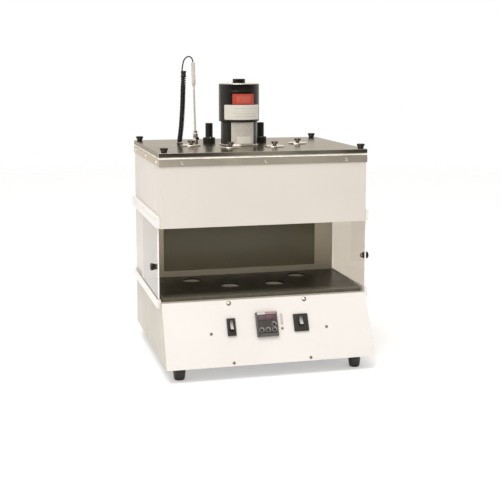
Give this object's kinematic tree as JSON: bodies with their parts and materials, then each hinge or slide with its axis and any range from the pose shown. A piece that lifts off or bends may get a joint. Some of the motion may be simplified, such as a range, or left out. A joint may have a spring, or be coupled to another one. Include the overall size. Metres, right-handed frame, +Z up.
{
  "type": "water bath",
  "caption": "Benchtop viscosity water bath: stirred tank with viscometer tubes over a flask compartment with clear sliding side doors and a sloped control base.",
  "frame": {"origin": "on the bench, at the centre of the bounding box's footprint, under the feet", "axes": "+Z up, -Y out of the front with the controls, +X to the right of a person facing the front"},
  "size_m": [0.45, 0.439, 0.6205],
  "materials": {
    "white_paint": "smooth white powder coat",
    "polished_steel": "polished stainless steel",
    "brushed_steel": "brushed stainless steel",
    "zinc_plate": "zinc-plated sheet",
    "black_plastic": "glossy black moulding",
    "control_black": "matt black moulding",
    "rocker_grey": "light grey moulding",
    "shelf_black": "satin black plate",
    "foot_rubber": "black rubber",
    "clear_acrylic": "clear cast acrylic",
    "opal_acrylic": "grey opal acrylic, unlit",
    "lamp_glass": "white fluorescent tube",
    "silicone": "white silicone",
    "mineral_wool": "mineral wool board",
    "motor_black": "black enamel",
    "brass": "machined brass",
    "lead_black": "black cable jacket"
  },
  "bodies": {
    "root": {"base_housing": "white_paint", "front_panel": "white_paint", "bottom_plate": "zinc_plate", "foot_front_left": "foot_rubber", "foot_front_right": "foot_rubber", "foot_back_left": "foot_rubber", "foot_back_right": "foot_rubber", "temperature_controller": "control_black", "mains_switch": "control_black", "stirrer_switch": "control_black", "power_inlet": "black_plastic", "heater_relay": "black_plastic", "flask_shelf": "shelf_black", "rear_column": "white_paint", "compartment_back": "brushed_steel", "light_diffuser": "opal_acrylic", "lamp_tube": "lamp_glass", "rear_cover": "white_paint", "lower_rail_left": "white_paint", "lower_rail_right": "white_paint", "upper_rail_left": "white_paint", "upper_rail_right": "white_paint", "upper_housing": "white_paint", "insulation": "mineral_wool", "tank": "brushed_steel", "viscometer_tube_1": "brass", "viscometer_tube_2": "brass", "viscometer_tube_3": "brass", "viscometer_tube_4": "brass", "drain_valve": "brass", "lid_gasket": "silicone"},
    "lid_assembly": {"lid": "polished_steel", "motor_lower_housing": "motor_black", "motor_upper_housing": "motor_black", "immersion_heater_left": "black_plastic", "immersion_heater_right": "black_plastic", "probe_gland": "polished_steel", "temperature_probe": "polished_steel", "coiled_lead": "lead_black", "probe_lead": "lead_black"},
    "stirrer": {"stirrer_shaft": "polished_steel"},
    "cap_1": {"tube_cap_1": "polished_steel"},
    "cap_2": {"tube_cap_2": "polished_steel"},
    "cap_3": {"tube_cap_3": "polished_steel"},
    "cap_4": {"tube_cap_4": "polished_steel"},
    "knob_front_left": {"lid_knob_front_left": "black_plastic"},
    "knob_front_right": {"lid_knob_front_right": "black_plastic"},
    "knob_back_left": {"lid_knob_back_left": "black_plastic"},
    "knob_back_right": {"lid_knob_back_right": "black_plastic"},
    "door_left": {"side_door_left": "clear_acrylic", "door_knob_left": "black_plastic"},
    "door_right": {"side_door_right": "clear_acrylic", "door_knob_right": "black_plastic"},
    "key_1": {"controller_key_1": "control_black"},
    "key_2": {"controller_key_2": "control_black"},
    "key_3": {"controller_key_3": "control_black"},
    "key_4": {"controller_key_4": "control_black"},
    "mains_rocker": {"mains_rocker": "rocker_grey"},
    "stirrer_rocker": {"stirrer_rocker": "rocker_grey"},
    "drain_lever": {"drain_lever": "brushed_steel"}
  },
  "joints": [
    {"name": "lid_lift", "type": "slide", "parent": "root", "child": "lid_assembly", "axis": [0, 0, 1], "range_m": [0, 0.15]},
    {"name": "stirrer_spin", "type": "hinge", "parent": "lid_assembly", "child": "stirrer", "pos_m": [-0.0126, 0.008, 0.4055], "axis": [0, 0, 1], "continuous": true},
    {"name": "cap_1_lift", "type": "slide", "parent": "lid_assembly", "child": "cap_1", "axis": [0, 0, 1], "range_m": [0, 0.05]},
    {"name": "cap_2_lift", "type": "slide", "parent": "lid_assembly", "child": "cap_2", "axis": [0, 0, 1], "range_m": [0, 0.05]},
    {"name": "cap_3_lift", "type": "slide", "parent": "lid_assembly", "child": "cap_3", "axis": [0, 0, 1], "range_m": [0, 0.05]},
    {"name": "cap_4_lift", "type": "slide", "parent": "lid_assembly", "child": "cap_4", "axis": [0, 0, 1], "range_m": [0, 0.05]},
    {"name": "knob_front_left_turn", "type": "hinge", "parent": "lid_assembly", "child": "knob_front_left", "pos_m": [-0.1975, -0.146, 0.442], "axis": [0, 0, 1], "continuous": true},
    {"name": "knob_front_right_turn", "type": "hinge", "parent": "lid_assembly", "child": "knob_front_right", "pos_m": [0.201, -0.146, 0.442], "axis": [0, 0, 1], "continuous": true},
    {"name": "knob_back_left_turn", "type": "hinge", "parent": "lid_assembly", "child": "knob_back_left", "pos_m": [-0.1995, 0.163, 0.442], "axis": [0, 0, 1], "continuous": true},
    {"name": "knob_back_right_turn", "type": "hinge", "parent": "lid_assembly", "child": "knob_back_right", "pos_m": [0.1955, 0.163, 0.442], "axis": [0, 0, 1], "continuous": true},
    {"name": "door_left_slide", "type": "slide", "parent": "root", "child": "door_left", "axis": [0, 1, 0], "range_m": [0, 0.115]},
    {"name": "door_right_slide", "type": "slide", "parent": "root", "child": "door_right", "axis": [0, 1, 0], "range_m": [0, 0.115]},
    {"name": "key_1_press", "type": "slide", "parent": "root", "child": "key_1", "axis": [0, 0.9082, -0.4186], "range_m": [0, 0.001], "stiffness_N_per_m": 300},
    {"name": "key_2_press", "type": "slide", "parent": "root", "child": "key_2", "axis": [0, 0.9082, -0.4186], "range_m": [0, 0.001], "stiffness_N_per_m": 300},
    {"name": "key_3_press", "type": "slide", "parent": "root", "child": "key_3", "axis": [0, 0.9082, -0.4186], "range_m": [0, 0.001], "stiffness_N_per_m": 300},
    {"name": "key_4_press", "type": "slide", "parent": "root", "child": "key_4", "axis": [0, 0.9082, -0.4186], "range_m": [0, 0.001], "stiffness_N_per_m": 300},
    {"name": "mains_rocker_tilt", "type": "hinge", "parent": "root", "child": "mains_rocker", "pos_m": [-0.076, -0.18955, 0.10063], "axis": [1, 0, 0], "range_deg": [0, 24]},
    {"name": "stirrer_rocker_tilt", "type": "hinge", "parent": "root", "child": "stirrer_rocker", "pos_m": [0.065, -0.18853, 0.10093], "axis": [1, 0, 0], "range_deg": [0, 24]},
    {"name": "drain_lever_turn", "type": "hinge", "parent": "root", "child": "drain_lever", "pos_m": [0.1, 0.1985, 0.3383], "axis": [0, 0, -1], "range_deg": [0, 90]}
  ]
}
